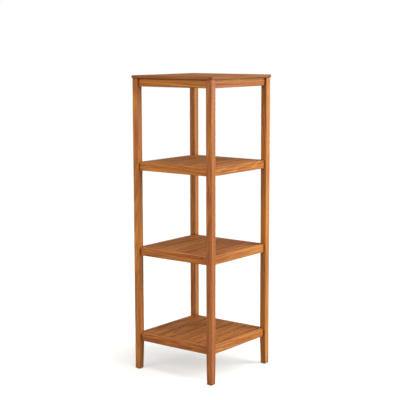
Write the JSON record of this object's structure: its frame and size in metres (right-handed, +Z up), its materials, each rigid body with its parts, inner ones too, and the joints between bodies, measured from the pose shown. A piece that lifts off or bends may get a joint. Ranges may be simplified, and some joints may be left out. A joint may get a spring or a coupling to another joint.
{
  "type": "bath tower shelf",
  "caption": "Free-standing slatted wooden bath tower with tapered square legs, mortised rails and a framed slatted top.",
  "frame": {"origin": "on the floor, under the middle of the tower", "axes": "+Z up, -Y towards the front, +X to the right"},
  "size_m": [0.354, 0.354, 1.067],
  "materials": {
    "leg_wood": "oiled hardwood, satin, straight grain up the leg",
    "rail_wood": "oiled hardwood, satin, straight grain along the rail",
    "slat_wood": "oiled hardwood, satin, flat-sawn figure along the slat",
    "top_wood": "oiled hardwood, satin, grain along each board",
    "cleat_wood": "hardwood, planed, thinly oiled",
    "glide_nylon": "moulded dark brown nylon",
    "screw_steel": "zinc plated, slightly yellow"
  },
  "bodies": {
    "root": {"leg_front_left": "leg_wood", "leg_front_right": "leg_wood", "leg_back_left": "leg_wood", "leg_back_right": "leg_wood", "glide_front_left": "glide_nylon", "glide_front_right": "glide_nylon", "glide_back_left": "glide_nylon", "glide_back_right": "glide_nylon", "rail_lower_front": "rail_wood", "rail_lower_back": "rail_wood", "rail_lower_left": "rail_wood", "rail_lower_right": "rail_wood", "rail_middle_front": "rail_wood", "rail_middle_back": "rail_wood", "rail_middle_left": "rail_wood", "rail_middle_right": "rail_wood", "rail_upper_front": "rail_wood", "rail_upper_back": "rail_wood", "rail_upper_left": "rail_wood", "rail_upper_right": "rail_wood", "rail_top_front": "rail_wood", "rail_top_back": "rail_wood", "rail_top_left": "rail_wood", "rail_top_right": "rail_wood", "slat_lower_1": "slat_wood", "slat_lower_2": "slat_wood", "slat_lower_3": "slat_wood", "slat_lower_4": "slat_wood", "slat_lower_5": "slat_wood", "slat_middle_1": "slat_wood", "slat_middle_2": "slat_wood", "slat_middle_3": "slat_wood", "slat_middle_4": "slat_wood", "slat_middle_5": "slat_wood", "slat_upper_1": "slat_wood", "slat_upper_2": "slat_wood", "slat_upper_3": "slat_wood", "slat_upper_4": "slat_wood", "slat_upper_5": "slat_wood", "slat_top_1": "top_wood", "slat_top_2": "top_wood", "slat_top_3": "top_wood", "slat_top_4": "top_wood", "slat_top_5": "top_wood", "cleat_lower_front": "cleat_wood", "cleat_lower_back": "cleat_wood", "cleat_middle_front": "cleat_wood", "cleat_middle_back": "cleat_wood", "cleat_upper_front": "cleat_wood", "cleat_upper_back": "cleat_wood", "batten_top_front": "cleat_wood", "batten_top_back": "cleat_wood", "top_frame_front": "top_wood", "top_frame_back": "top_wood", "top_frame_left": "top_wood", "top_frame_right": "top_wood", "screw_top_front_left": "screw_steel", "screw_top_front_right": "screw_steel", "screw_top_back_left": "screw_steel", "screw_top_back_right": "screw_steel"}
  },
  "joints": []
}
